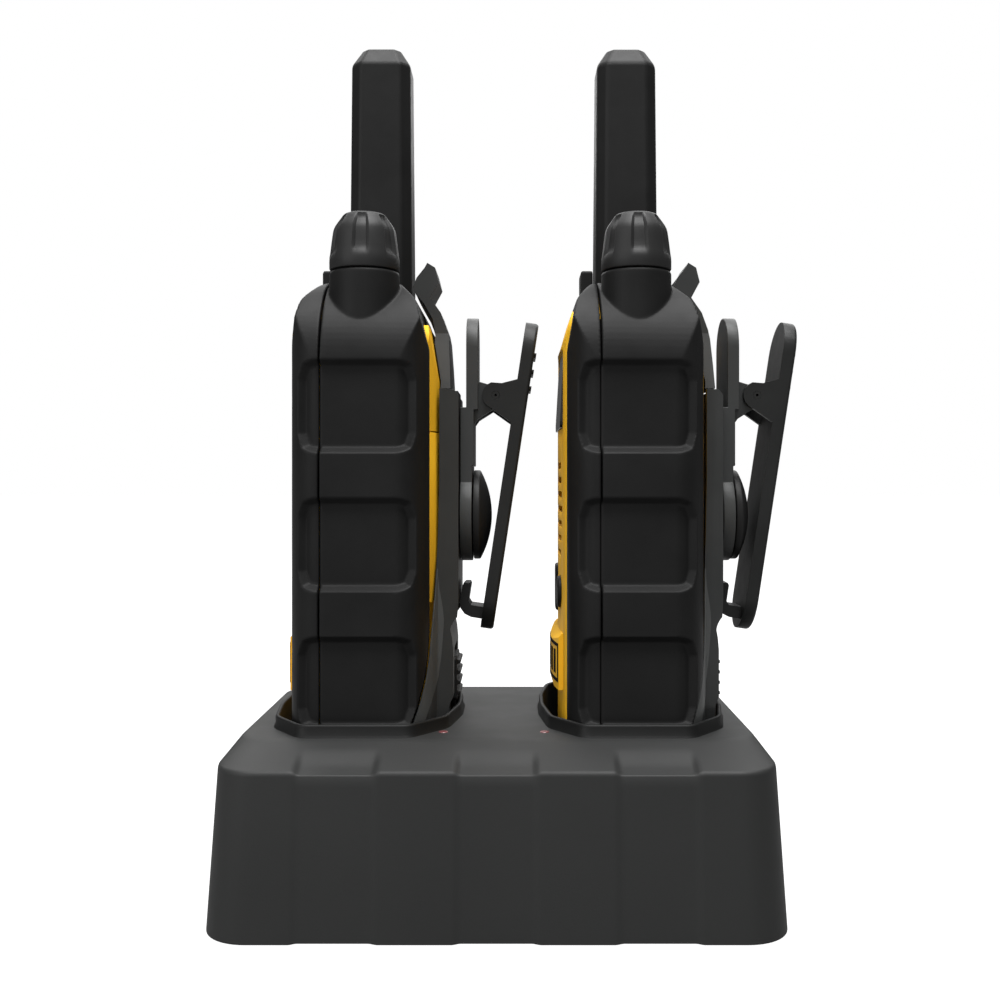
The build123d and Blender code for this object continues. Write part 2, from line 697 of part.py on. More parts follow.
def make_clip_pin():
    pin = rod_y(PIN_R, -CLIP_HALF, CLIP_HALF, PIVOT_X, PIVOT_Z)
    return pin - rod_y(PIN_R / 3, -10, 10, PIVOT_X, PIVOT_Z)


def make_clip_spring():
    """Torsion spring on the pin, with one leg on each half of the clip."""
    wire = 0.4
    coil_r = 1.9
    pitch = 0.74
    spring = None
    for n in range(-5, 6):
        turn = Pos(PIVOT_X, n * pitch, PIVOT_Z) * Rot(90, 0, 0) * Torus(coil_r, wire)
        spring = turn if spring is None else spring + turn
    leg_1 = Pos(PIVOT_X - 1.9, -3.7, PIVOT_Z + 1.3) * Rot(0, -8, 0) * Cylinder(wire, 2.8)
    leg_2 = Pos(PIVOT_X + 1.9, 3.7, PIVOT_Z + 1.2) * Rot(0, 8, 0) * Cylinder(wire, 2.6)
    return spring + leg_1 + leg_2


def arm_x(z):
    """Inner face of the clip's arm at height z."""
    slope = (ARM_HIGH[0] - ARM_LOW[0]) / (ARM_HIGH[1] - ARM_LOW[1])
    return ARM_LOW[0] + (z - ARM_LOW[1]) * slope


def make_clip_arm():
    """Swinging half of the belt clip: long plate with round ends, outer ears, belt hook, thumb ribs."""
    lean = degrees(atan2(ARM_HIGH[0] - ARM_LOW[0], ARM_HIGH[1] - ARM_LOW[1]))
    mid_z = (ARM_TOP + ARM_END) / 2
    length = (ARM_TOP - ARM_END) / cos(lean * pi / 180)
    face = Plane.YZ * RectangleRounded(2 * CLIP_HALF, length, CLIP_HALF - 0.05)
    plate = extrude(face, amount=ARM_THICK)
    plate = fillet(plate.edges().group_by(Axis.X)[-1], 0.8)
    for n in range(3):
        rib_z = length / 2 - 8.5 - n * 4.2
        rib = Pos(ARM_THICK + 0.1, 0, rib_z) * Box(0.8, 11.0, 1.2)
        plate += fillet(rib.edges().filter_by(Axis.X), 0.5)
    arm = Pos(arm_x(mid_z), 0, mid_z) * Rot(0, lean, 0) * plate
    round_end = [(PIVOT_X + 3.4 * cos(a * pi / 180), PIVOT_Z + 3.4 * sin(a * pi / 180))
                 for a in range(110, 251, 20)]
    arm += ear([(arm_x(100.8) + 0.8, 100.8), (PIVOT_X + 1.5, 99.6)] + round_end
               + [(arm_x(89.4) + 0.8, 89.4)], 6.6, CLIP_HALF)
    hook = prism_xz([(arm_x(40.6) + 1, 40.4), (24.9, 41.0), (23.3, 41.8), (22.3, 43.2), (22.1, 45.0),
                     (22.8, 49.0), (23.4, 49.6), (24.6, 49.6), (24.9, 49.0), (24.3, 45.0), (24.9, 44.0),
                     (arm_x(43.5) + 1, 43.4)], -HOOK_HALF, HOOK_HALF)
    arm += hook
    arm -= rod_y(PIN_R + SHAFT_PLAY, -10, 10, PIVOT_X, PIVOT_Z)
    return arm


def make_clip_stud():
    """Fixed stud that the clip turns on, with a domed cap."""
    under, rim, crown = CAP_X
    rise = crown - rim
    ball = (CAP_R ** 2 + rise ** 2) / (2 * rise)
    half_angle = atan2(CAP_R, ball - rise) / 2
    middle = (crown - ball + ball * cos(half_angle), ball * sin(half_angle))
    dome = ThreePointArc((rim, CAP_R), middle, (crown, 0))
    lines = Polyline((crown, 0), (19.6, 0), (19.6, STUD_R), (under, STUD_R), (under, CAP_R), (rim, CAP_R))
    half = make_face(Curve() + [dome, lines])
    return Pos(0, 0, STUD_Z) * revolve(half, Axis.X)


# ---------------------------------------------------------------- dock
def ring(size, z, inset=0.0):
    """Rounded rectangle of the dock's plan at height z."""
    half_x, half_y, corner = size
    face = RectangleRounded(2 * (half_x - inset), 2 * (half_y - inset), max(corner - inset, 1.0))
    return Pos(0, 0, z) * face


def pocket_plan(inset):
    """Twelve-sided plan of a pocket's rim around one radio."""
    outline = mirrored([(-22.8, 6.0), (-20.9, 21.5), (-13.4, 32.1), (11.9, 32.1), (20.0, 21.5), (22.6, 6.0)])
    face = Polygon(*outline, align=None)
    return offset(face, amount=-inset, kind=Kind.INTERSECTION) if inset else face


def make_dock_shell():
    """One-piece dock moulding with bevelled top, shallow front and back panels and two pockets."""
    low = 0.3
    outside = loft([ring(DOCK_FOOT, low), ring(DOCK_BREAK, BREAK_Z)], ruled=True)
    outside += loft([ring(DOCK_BREAK, BREAK_Z), ring(DOCK_FLAT, FLAT_Z)], ruled=True)
    inside = loft([ring(DOCK_FOOT, -0.5, DOCK_WALL), ring(DOCK_BREAK, BREAK_Z - 2, DOCK_WALL)], ruled=True)
    inside += loft([ring(DOCK_BREAK, BREAK_Z - 2, DOCK_WALL), ring(DOCK_FLAT, FLAT_Z - DOCK_WALL, 1)],
                   ruled=True)
    shell = outside - inside
    panel_floor = loft([ring(DOCK_FOOT, -1, DOCK_PANEL_DEPTH), ring(DOCK_BREAK, BREAK_Z, DOCK_PANEL_DEPTH)],
                       ruled=True)
    lowered = [Pos(0, 0, -DOCK_PANEL_DEPTH * 0.6) * ring(DOCK_BREAK, BREAK_Z, DOCK_PANEL_DEPTH),
               Pos(0, 0, -DOCK_PANEL_DEPTH * 0.6) * ring(DOCK_FLAT, FLAT_Z, DOCK_PANEL_DEPTH)]
    panel_floor = panel_floor & block((-99, 99), (-99, 99), (-5, BREAK_Z - DOCK_PANEL_DEPTH * 0.6))
    panel_floor += loft(lowered, ruled=True)
    panel_floor += block((-99, 99), (-36.5, 36.5), (BREAK_Z - 2, 60))
    for x in DOCK_PANELS:
        band = block((x - DOCK_PANEL_HALF, x + DOCK_PANEL_HALF), (-99, 99), (-5, 60))
        shell -= band - panel_floor
    up = (0, 0, 1)
    depth = RIM_Z - POCKET_FLOOR
    for x in radio_places():
        outer = Pos(x, 0, POCKET_FLOOR - 2) * extrude(pocket_plan(0), amount=depth + 2, dir=up)
        inner = Pos(x, 0, POCKET_FLOOR) * extrude(pocket_plan(RIM_WALL), amount=40, dir=up)
        shell = shell + outer - inner
        for y in PIN_ROW_Y:
            shell -= rod_z(1.15, 10, 30, x + CONTACT_X, y)
    for x in LED_X:
        shell -= rod_z(LED_R, 30, 50, x, LED_Y)
    shell -= block((-INLET[0] / 2 - 1, INLET[0] / 2 + 1), (30, 60), (INLET[2] - 2.7, INLET[2] + 2.7))
    return shell


def make_dock_base():
    """Bottom plate with wells for the feet and countersunk screw holes."""
    plate = extrude(ring(DOCK_FOOT, 0, DOCK_WALL + 0.5), amount=BASE_THICK)
    for x in (-1, 1):
        for y in (-1, 1):
            plate -= rod_z(5.05, -1, 1.2, x * FOOT_AT[0], y * FOOT_AT[1])
            plate += rod_z(3.2, BASE_THICK - 0.1, 8.0, x * SCREW_AT[0], y * SCREW_AT[1])
            plate -= rod_z(1.3, -1, 20, x * SCREW_AT[0], y * SCREW_AT[1])
            plate -= rod_z(2.6, -1, 1.5, x * SCREW_AT[0], y * SCREW_AT[1])
    return plate


def make_rubber_feet():
    feet = [rod_z(5.0, 0, 1.2, x * FOOT_AT[0], y * FOOT_AT[1]) for x in (-1, 1) for y in (-1, 1)]
    return Compound(children=feet)


def make_base_screws():
    screws = []
    for x in (-1, 1):
        for y in (-1, 1):
            at = (x * SCREW_AT[0], y * SCREW_AT[1])
            head = rod_z(2.5, 0.2, 1.5, *at) - rod_z(1.0, 0, 0.9, *at)
            screws.append(head + rod_z(1.25, 1.4, 9.5, *at))
    return Compound(children=screws)


def make_dock_board():
    """Charging circuit board with the inlet end at the back."""
    board = block((-48, 48), (-24, 24), (11.0, 12.6))
    board += block((-10, 10), (-8, 6), (12.5, 15.5))
    board += block((-7, 7), (20, 43), (8.0, 9.5))
    board += block((-7, 7), (20, 24), (9.0, 11.5))
    for x in radio_places():
        board += block((x + CONTACT_X - 3, x + CONTACT_X + 3), (-12, 12), (12.5, 16.0))
    return board


def make_contact_pins():
    """Charging pins that stand just proud of each pocket's floor."""
    pins = []
    for x in radio_places():
        for y in PIN_ROW_Y:
            pin = rod_z(1.1, 16.1, 24.7, x + CONTACT_X, y)
            pins.append(fillet(pin.edges().group_by(Axis.Z)[-1], 0.5))
    return Compound(children=pins)


def make_led_lenses():
    lenses = []
    for x in LED_X:
        lens = rod_z(LED_R, 35.5, FLAT_Z + 0.15, x, LED_Y)
        lenses.append(fillet(lens.edges().group_by(Axis.Z)[-1], 0.3))
    return Compound(children=lenses)


def make_power_jack():
    """Rectangular power inlet in the back wall."""
    half, tall, z = INLET[0] / 2, INLET[1] / 2, INLET[2]
    jack = block((-half - 0.8, half + 0.8), (37.5, 48.2), (z - tall - 0.6, z + tall + 0.6))
    jack -= block((-half, half), (39.0, 60), (z - tall, z + tall))
    tongue = block((-half + 1.6, half - 1.6), (38.5, 46.5), (z - 0.4, z + 0.4))
    return jack + tongue


# ---------------------------------------------------------------- assembly
def radio_places():
    return [RADIO_MID_X - RADIO_PITCH / 2, RADIO_MID_X + RADIO_PITCH / 2]


def radio_pieces():
    front_bumper, rear_bumper = make_bumpers()
    return {
        "front_housing": make_front_housing(),
        "rear_housing": make_rear_housing(),
        "front_bumper": front_bumper,
        "rear_bumper": rear_bumper,
        "battery_cover": make_battery_cover(),
        "battery_latch": make_battery_latch(),
        "battery_pack": make_battery_pack(),
        "antenna": make_antenna(),
        "volume_knob": make_knob(),
        "volume_pot": make_pot(),
        "circuit_board": make_board(),
        "speaker": make_speaker(),
        "display_module": make_display(),
        "display_lens": make_lens(),
        "menu_button": make_menu_button(),
        "channel_rocker": make_rocker(),
        "ptt_button": make_ptt(),
        "holster": make_holster(),
        "release_tab": make_release_tab(),
        "clip_base": make_clip_base(),
        "clip_arm": make_clip_arm(),
        "clip_pin": make_clip_pin(),
        "clip_spring": make_clip_spring(),
        "clip_stud": make_clip_stud(),
        "charge_contacts": make_contacts(),
        "case_screws": make_case_screws(),
    }


def dock_pieces():
    return {
        "dock_shell": make_dock_shell(),
        "dock_base": make_dock_base(),
        "dock_board": make_dock_board(),
        "contact_pins": make_contact_pins(),
        "led_lenses": make_led_lenses(),
        "rubber_feet": make_rubber_feet(),
        "base_screws": make_base_screws(),
        "power_jack": make_power_jack(),
    }


def main():
    os.makedirs(PARTS, exist_ok=True)
    for name, shape in dock_pieces().items():
        export_step(shape, os.path.join(PARTS, name + ".step"))
    pieces = radio_pieces()
    for number, x in enumerate(radio_places(), start=1):
        for name, shape in pieces.items():
            placed = Pos(x, 0, RADIO_Z) * shape
            export_step(placed, os.path.join(PARTS, f"{name}_{number}.step"))


main()
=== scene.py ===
import json
import math

import bmesh
import bpy
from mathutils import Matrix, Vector


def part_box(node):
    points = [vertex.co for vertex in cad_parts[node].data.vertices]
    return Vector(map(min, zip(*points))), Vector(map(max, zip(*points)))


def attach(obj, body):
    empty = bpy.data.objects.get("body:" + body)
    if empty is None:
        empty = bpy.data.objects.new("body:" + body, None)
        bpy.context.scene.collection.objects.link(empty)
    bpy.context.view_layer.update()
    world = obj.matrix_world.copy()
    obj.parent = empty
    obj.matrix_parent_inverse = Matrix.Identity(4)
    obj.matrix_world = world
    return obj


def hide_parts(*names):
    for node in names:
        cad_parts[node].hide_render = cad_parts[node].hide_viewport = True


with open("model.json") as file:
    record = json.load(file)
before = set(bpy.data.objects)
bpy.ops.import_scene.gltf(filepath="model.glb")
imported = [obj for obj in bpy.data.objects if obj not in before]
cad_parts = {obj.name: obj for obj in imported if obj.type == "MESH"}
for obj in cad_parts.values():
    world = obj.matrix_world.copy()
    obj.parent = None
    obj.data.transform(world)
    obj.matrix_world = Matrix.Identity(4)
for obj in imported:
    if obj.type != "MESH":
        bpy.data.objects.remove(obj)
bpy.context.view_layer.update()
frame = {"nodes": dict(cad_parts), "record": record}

# Two handheld radios with belt clips in a two-pocket charging dock.
# Lengths of pieces are in millimetres and are turned into metres when a mesh is made. They are in a
# radio's own frame (knob axis at x = 0, underside at z = 0) or in the dock's frame.

MM = 0.001
NUMBERS = (1, 2)


def middle_x(node):
    """Middle of a node's box along X, in millimetres."""
    low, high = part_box(node)
    return (low[0] + high[0]) / 2 / MM


RADIO_X = {n: middle_x(f"volume_knob_{n}") for n in NUMBERS}
STAND = 24.0  # height of a radio's underside in its pocket


# ---------------------------------------------------------------- materials
TONE_RAMP = (0.35, 0.65)
SMUDGE_SCALE = 4


def shader(name, dark, light, rough, *, patch=60.0, grain=2600.0, bump=0.06, height=0.05,
           smudge=0.08, metallic=0.0, specular=0.5, coat=0.0):
    """Procedural finish: slow colour drift between two tones, fine moulded grain, uneven roughness."""
    made = bpy.data.materials.new(name)
    made.use_nodes = True
    nodes, links = made.node_tree.nodes, made.node_tree.links
    surface = nodes["Principled BSDF"]
    place = nodes.new("ShaderNodeTexCoord")

    def noise(scale, detail):
        node = nodes.new("ShaderNodeTexNoise")
        node.inputs["Scale"].default_value = scale
        node.inputs["Detail"].default_value = detail
        links.new(place.outputs["Object"], node.inputs["Vector"])
        return node

    drift = noise(patch, 3.0)
    tone = nodes.new("ShaderNodeValToRGB")
    first, last = tone.color_ramp.elements
    first.position, last.position = TONE_RAMP
    first.color = (*dark, 1)
    last.color = (*light, 1)
    links.new(drift.outputs["Fac"], tone.inputs["Fac"])
    links.new(tone.outputs["Color"], surface.inputs["Base Color"])

    uneven = noise(patch * SMUDGE_SCALE, 5.0)
    spread = nodes.new("ShaderNodeMapRange")
    spread.inputs["To Min"].default_value = rough - smudge
    spread.inputs["To Max"].default_value = rough + smudge
    links.new(uneven.outputs["Fac"], spread.inputs["Value"])
    links.new(spread.outputs["Result"], surface.inputs["Roughness"])

    fine = noise(grain, 2.0)
    relief = nodes.new("ShaderNodeBump")
    relief.inputs["Strength"].default_value = bump
    relief.inputs["Distance"].default_value = height * MM
    links.new(fine.outputs["Fac"], relief.inputs["Height"])
    links.new(relief.outputs["Normal"], surface.inputs["Normal"])

    surface.inputs["Metallic"].default_value = metallic
    surface.inputs["Specular IOR Level"].default_value = specular
    surface.inputs["Coat Weight"].default_value = coat
    return made


def grey(value, tint=(1.0, 1.0, 1.0)):
    """A grey of one brightness, tinted when asked."""
    return tuple(value * t for t in tint)


COOL = (0.97, 1.0, 0.985)  # a slightly green grey
SKIN_RUBBER = shader("skin_rubber", grey(0.0080), grey(0.0105), 0.50, bump=0.25, specular=0.10)
MATT_BLACK = shader("matt_black", grey(0.009), grey(0.012), 0.50, bump=0.25, specular=0.15)
ANTENNA_BLACK = shader("antenna_black", grey(0.008), grey(0.010), 0.48, bump=0.3, specular=0.12)
KNOB_BLACK = shader("knob_black", grey(0.014), grey(0.018), 0.48, bump=0.3, specular=0.18)
CLIP_PLASTIC = shader("clip_plastic", grey(0.013, COOL), grey(0.017, COOL), 0.44, bump=0.2,
                      specular=0.14)
LEG_PLASTIC = shader("leg_plastic", grey(0.034, COOL), grey(0.041, COOL), 0.44, bump=0.2,
                     specular=0.18)
HOLSTER_PLASTIC = shader("holster_plastic", grey(0.031, COOL), grey(0.037, COOL), 0.46, bump=0.22,
                         specular=0.18)
# Lighter copy of the holster plastic: on the arms' rims it is a painted highlight along their front
# edge.
RIM_HIGHLIGHT_PLASTIC = shader("rim_plastic_painted_highlight", grey(0.062, COOL), grey(0.074, COOL), 0.46, bump=0.22,
                     specular=0.18)
INK_BLACK = shader("ink_black", grey(0.003), grey(0.004), 0.70, bump=0.1, specular=0.03)
DOCK_PLASTIC = shader("dock_plastic", grey(0.0125, COOL), grey(0.0150, COOL), 0.60, patch=25,
                      grain=2200, bump=0.28, height=0.06, specular=0.30)
# Darker copy of the dock plastic: on the pockets' rim and well it is painted shade.
POCKET_SHADE_PLASTIC = shader("pocket_plastic_painted_shade", grey(0.0050, COOL), grey(0.0065, COOL), 0.52, patch=25,
                        grain=2200, bump=0.28, height=0.06, specular=0.18)
YELLOW = shader("yellow_plastic", (0.74, 0.40, 0.018), (0.80, 0.44, 0.022), 0.55, grain=1800,
                bump=0.15, specular=0.08)
FOOT_RUBBER = shader("foot_rubber", grey(0.010), grey(0.014), 0.75, bump=0.4, specular=0.3)
STEEL = shader("plated_steel", grey(0.50), grey(0.62), 0.28, patch=200, bump=0.1, metallic=1.0)
GOLD = shader("gold_plating", (0.78, 0.55, 0.20), (0.86, 0.64, 0.28), 0.22, patch=300, bump=0.06,
              metallic=1.0)
BOARD_GREEN = shader("board_green", (0.010, 0.085, 0.030), (0.016, 0.115, 0.045), 0.35, patch=150,
                     bump=0.1)
SLEEVE = shader("battery_sleeve", (0.03, 0.07, 0.18), (0.04, 0.09, 0.22), 0.30, bump=0.05)
LENS_BLACK = shader("lens_black", grey(0.003), grey(0.004), 0.14, bump=0.01, smudge=0.04,
                    specular=0.3)
LED_TINT = shader("led_tint", (0.11, 0.030, 0.032), (0.14, 0.042, 0.045), 0.30, patch=900,
                  bump=0.04, coat=0.1)

SLOT_SHADER = {
    "dock_plastic": DOCK_PLASTIC,
    "yellow_plastic": YELLOW,
    "rubber_skin": SKIN_RUBBER,
    "black_plastic": MATT_BLACK,
    "knob_plastic": KNOB_BLACK,
    "grey_plastic": HOLSTER_PLASTIC,
    "rubber": FOOT_RUBBER,
    "steel": STEEL,
    "gold": GOLD,
    "board": BOARD_GREEN,
    "battery_sleeve": SLEEVE,
    "speaker_black": MATT_BLACK,
    "lens": LENS_BLACK,
    "led": LED_TINT,
}
NODE_SHADER = {"antenna": ANTENNA_BLACK, "clip_arm": CLIP_PLASTIC, "clip_base": LEG_PLASTIC,
               "clip_pin": CLIP_PLASTIC}


def base_name(node):
    """Name of a node without its radio's number."""
    return node[:-2] if node[-2:] in ("_1", "_2") else node


for entry in frame["record"]["subparts"]:
    node_object = frame["nodes"][entry["node"]]
    made = NODE_SHADER.get(base_name(entry["node"]), SLOT_SHADER[entry["material_slot"]])
    if not node_object.material_slots:
        node_object.data.materials.append(made)
    for material_slot in node_object.material_slots:
        material_slot.material = made


# ---------------------------------------------------------------- modifiers on carried-over nodes
WELD_WITHIN = 0.004
FLAT_WITHIN = math.radians(0.6)
EDGE_SEGMENTS = 3
EDGE_ANGLE = math.radians(28.0)


def soft_edges(piece, width):
    """Clean the flats of a moulded piece and round its edges."""
    weld = piece.modifiers.new("weld", "WELD")
    weld.merge_threshold = WELD_WITHIN * MM
    flats = piece.modifiers.new("flats", "DECIMATE")
    flats.decimate_type = "DISSOLVE"
    flats.angle_limit = FLAT_WITHIN
    edge = piece.modifiers.new("edges", "BEVEL")
    edge.width = width * MM
    edge.segments = EDGE_SEGMENTS
    edge.limit_method = "ANGLE"
    edge.angle_limit = EDGE_ANGLE
    edge.harden_normals = True
    edge.use_clamp_overlap = True


def moulded(piece, voxel, rounds):
    """Rebuild a rubber moulding on an even grid and relax it, so that every edge is soft."""
    grid = piece.modifiers.new("grid", "REMESH")
    grid.mode = "VOXEL"
    grid.voxel_size = voxel * MM
    grid.use_smooth_shade = True
    relax = piece.modifiers.new("relax", "SMOOTH")
    relax.factor = 0.5
    relax.iterations = rounds


EDGE_WIDTH = {
    "battery_cover": 0.35, "battery_latch": 0.25, "antenna": 0.9, "display_lens": 0.15,
    "menu_button": 0.2, "channel_rocker": 0.2, "holster": 0.35, "release_tab": 0.35,
    "clip_base": 0.45, "clip_arm": 0.25, "clip_stud": 0.25, "front_housing": 0.35,
}
MOULDED = {"front_bumper": (0.3, 2), "rear_bumper": (0.3, 2), "ptt_button": (0.25, 3)}
for n in NUMBERS:
    for base, width in EDGE_WIDTH.items():
        soft_edges(frame["nodes"][f"{base}_{n}"], width)
    for base, (voxel, rounds) in MOULDED.items():
        moulded(frame["nodes"][f"{base}_{n}"], voxel, rounds)


# ---------------------------------------------------------------- mesh helpers
def mesh_in_metres(name, bm):
    """Turn a bmesh in millimetres into a mesh in metres."""
    mesh = bpy.data.meshes.new(name)
    bm.to_mesh(mesh)
    bm.free()
    mesh.transform(((MM, 0, 0, 0), (0, MM, 0, 0), (0, 0, MM, 0), (0, 0, 0, 1)))
    return mesh


def finish_piece(name, bm, body, nodes, made, smooth_angle=35.0):
    """Turn a bmesh in millimetres into a finished piece on its body."""
    bmesh.ops.recalc_face_normals(bm, faces=bm.faces)
    mesh = mesh_in_metres(name, bm)
    for polygon in mesh.polygons:
        polygon.use_smooth = True
    mesh.set_sharp_from_angle(angle=math.radians(smooth_angle))
    mesh.materials.append(made)
    piece = bpy.data.objects.new(name, mesh)
    bpy.context.collection.objects.link(piece)
    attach(piece, body)
    if nodes:
        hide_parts(*nodes)
    return piece


def smooth_step(t):
    """Zero to one with a soft start and end."""
    t = min(max(t, 0.0), 1.0)
    return t * t * (3 - 2 * t)


def band(value, low, high, ramp):
    """One inside low to high, easing to nothing over the ramp just inside each end."""
    return smooth_step((value - low) / ramp) * smooth_step((high - value) / ramp)


def rings_to_mesh(bm, rings, close_first=True):
    """Skin a stack of closed rings, all with the same count of points; the last one is closed."""
    rows = [[bm.verts.new(p) for p in ring] for ring in rings]
    count = len(rings[0])
    for a, b in zip(rows, rows[1:]):
        for k in range(count):
            bm.faces.new((a[k], a[(k + 1) % count], b[(k + 1) % count], b[k]))
    if close_first:
        bm.faces.new(rows[0])
    bm.faces.new(rows[-1])


# ---------------------------------------------------------------- volume knob
KNOB_Y = -18.85
KNOB_LOW = 125.4
KNOB_LIP = 0.02  # the stem ends this far below the knob's flat underside
KNOB_TOP = 139.0
KNOB_STEM = (3.0, 101.5)  # radius and lower end
KNOB_STEPS = 144
GROOVES = 6
GROOVE_AT = 7.6  # radius at which a groove's width is measured
GROOVE_HALF = 1.25
GROOVE_EASE = 0.75
GROOVE_DEEP = 0.75
GROOVE_FOOT = (128.9, 0.7)  # height where the grooves start, and over how much
GROOVE_HEAD = (138.6, 1.2)  # height where the grooves end, and over how much


def knob_profile():
    """Radius and height: stem, plain skirt, grip drawing in, rounded crown."""
    stem_r, stem_end = KNOB_STEM
    skirt = [(7.8, KNOB_LOW), (8.2, 125.5), (8.34, 125.8), (8.35, 127.5), (8.3, 128.5),
             (8.15, 129.3)]
    grip = [(8.0, 130.5), (7.82, 132.0), (7.62, 133.5), (7.45, 134.6), (7.25, 135.3)]
    crown = [(6.9, 136.0), (6.3, 136.9), (5.6, 137.85), (5.15, 138.5), (4.85, 138.8), (4.4, 138.97),
             (3.6, KNOB_TOP), (1.2, KNOB_TOP)]
    return [(stem_r, stem_end), (stem_r, KNOB_LOW - KNOB_LIP)] + skirt + grip + crown


def groove_depth(turn, z):
    """How far a finger groove is pressed in at one place on the knob."""
    pitch = 2 * math.pi / GROOVES
    across = (turn % pitch - pitch / 2) * GROOVE_AT
    groove = 1.0 - smooth_step((abs(across) - GROOVE_HALF) / GROOVE_EASE)
    foot, foot_ease = GROOVE_FOOT
    head, head_ease = GROOVE_HEAD
    fade = smooth_step((z - foot) / foot_ease) * smooth_step((head - z) / head_ease)
    return GROOVE_DEEP * groove * fade


def make_knob(n):
    """Knob with six finger grooves that run out above the plain skirt."""
    bm = bmesh.new()
    rings = []
    for radius, z in knob_profile():
        ring = []
        for k in range(KNOB_STEPS):
            turn = 2 * math.pi * k / KNOB_STEPS
            r = radius - groove_depth(turn, z)
            ring.append((RADIO_X[n] + r * math.cos(turn), KNOB_Y + r * math.sin(turn), STAND + z))
        rings.append(ring)
    rings_to_mesh(bm, rings)
    finish_piece(f"knob_grip_{n}", bm, f"knob_{n}", [f"volume_knob_{n}"], KNOB_BLACK)


for n in NUMBERS:
    make_knob(n)


# ---------------------------------------------------------------- badge inlay
BADGE_OUT = -19.9  # x of the badge block's face at its middle
BADGE_BOW = 80.8  # radius of the face's bow
INLAY_HALF = 15.0
INLAY_Z = (26.4, 35.8)
INLAY_LINE = 0.8
BAR_Z = (28.2, 34.0)
BARS = 6
BAR_HALF = 1.1
BAR_PITCH = 4.3
INLAY_PROUD = 0.14
INLAY_ROOT = 0.25
INLAY_STEP = 1.2
INLAY_SEAM = 0.01


def inlay_strip(bm, n, y0, y1, z0, z1):
    """One raised strip that follows the bow of the badge block."""
    count = max(2, math.ceil((y1 - y0) / INLAY_STEP))
    section = ((-INLAY_PROUD, z0), (-INLAY_PROUD, z1), (INLAY_ROOT, z1), (INLAY_ROOT, z0))
    rings = []
    for k in range(count + 1):
        y = y0 + (y1 - y0) * k / count
        x = RADIO_X[n] + BADGE_OUT + BADGE_BOW - math.sqrt(BADGE_BOW ** 2 - y ** 2)
        rings.append([(x + dx, y, STAND + z) for dx, z in section])
    rings_to_mesh(bm, rings)


def make_badge_inlay(n):
    """Plain frame with six upright bars."""
    bm = bmesh.new()
    low, high = INLAY_Z
    inlay_strip(bm, n, -INLAY_HALF, INLAY_HALF, high - INLAY_LINE, high)
    inlay_strip(bm, n, -INLAY_HALF, INLAY_HALF, low, low + INLAY_LINE)
    for y in (-INLAY_HALF, INLAY_HALF - INLAY_LINE):
        inlay_strip(bm, n, y, y + INLAY_LINE, low + INLAY_LINE + INLAY_SEAM,
                    high - INLAY_LINE - INLAY_SEAM)
    for k in range(BARS):
        y = (k - (BARS - 1) / 2) * BAR_PITCH
        inlay_strip(bm, n, y - BAR_HALF, y + BAR_HALF, *BAR_Z)
    finish_piece(f"badge_inlay_{n}", bm, f"radio_{n}", [], INK_BLACK)


for n in NUMBERS:
    make_badge_inlay(n)


# ---------------------------------------------------------------- rim along the holster's arms
# Front edge of the arms by height, and the arms' outside by x.
ARM_EDGE = [(8.0, 8.5), (16.0, 11.3), (22.5, 13.5), (28.0, 14.9), (33.0, 15.6), (40.0, 16.1),
            (48.3, 16.65), (54.0, 16.95)]
ARM_PLAN = [(8.5, 29.4), (12.0, 27.7), (14.8, 24.0), (16.1, 20.5), (17.1, 15.2), (22.1, 12.0)]
ARM_RIM = 2.2
ARM_RIM_LEAST = 0.15
ARM_RIM_FADE = 14.0
ARM_RIM_LIFT = 0.16
ARM_RIM_BACK = 0.12  # gap between the arm's front edge and the rim
ARM_RIM_ROWS = 30
ARM_RIM_COLUMNS = 8


def along(table, value):
    """Straight-line reading of a table."""
    for (a, u), (b, v) in zip(table, table[1:]):
        if value <= b:
            return u + (v - u) * (value - a) / (b - a)
    return table[-1][1]


def arm_rim_section(z, wide):
    """Plan of the rim at height z: a thin band on both sides of the arm's surface."""
    outer, inner = [], []
    reach = 0.3
    for k in range(ARM_RIM_COLUMNS + 1):
        x = along(ARM_EDGE, z) + ARM_RIM_BACK + wide * k / ARM_RIM_COLUMNS
        y = along(ARM_PLAN, x)
        slope = (along(ARM_PLAN, x + reach) - along(ARM_PLAN, x - reach)) / (2 * reach)
        lift = ARM_RIM_LIFT / math.hypot(slope, 1.0)
        outer.append((x - slope * lift, y + lift))
        inner.append((x + slope * lift, y - lift))
    return outer + inner[::-1]


def make_arm_rims(n):
    """Raised rim along the front edge of both arms, narrowing towards its upper end."""
    bm = bmesh.new()
    low, high = ARM_EDGE[0][0], ARM_EDGE[-1][0]
    for side in (-1, 1):
        rings = []
        for k in range(ARM_RIM_ROWS + 1):
            z = low + (high - low) * k / ARM_RIM_ROWS
            wide = ARM_RIM_LEAST + ARM_RIM * smooth_step((high - z) / ARM_RIM_FADE)
            section = arm_rim_section(z, wide)
            rings.append([(RADIO_X[n] + x, side * y, STAND + z) for x, y in section])
        rings_to_mesh(bm, rings)
    # The rim's lighter grey is a painted highlight along the arms' front edge.
    finish_piece(f"arm_rims_{n}", bm, f"radio_{n}", [], RIM_HIGHLIGHT_PLASTIC)


for n in NUMBERS:
    make_arm_rims(n)


# ---------------------------------------------------------------- rib under the strap
# Side outline of the rib: first along the body, then back up along the strap.
STRAP_RIB = [(11.3, 122.4), (11.65, 121.0), (12.5, 119.2), (13.65, 117.2), (14.8, 115.2),
             (15.6, 113.2), (16.1, 111.6), (16.6, 111.6), (16.5, 113.4), (15.9, 115.9),
             (13.8, 119.5), (11.5, 122.9)]
STRAP_RIB_HALF = 5.6


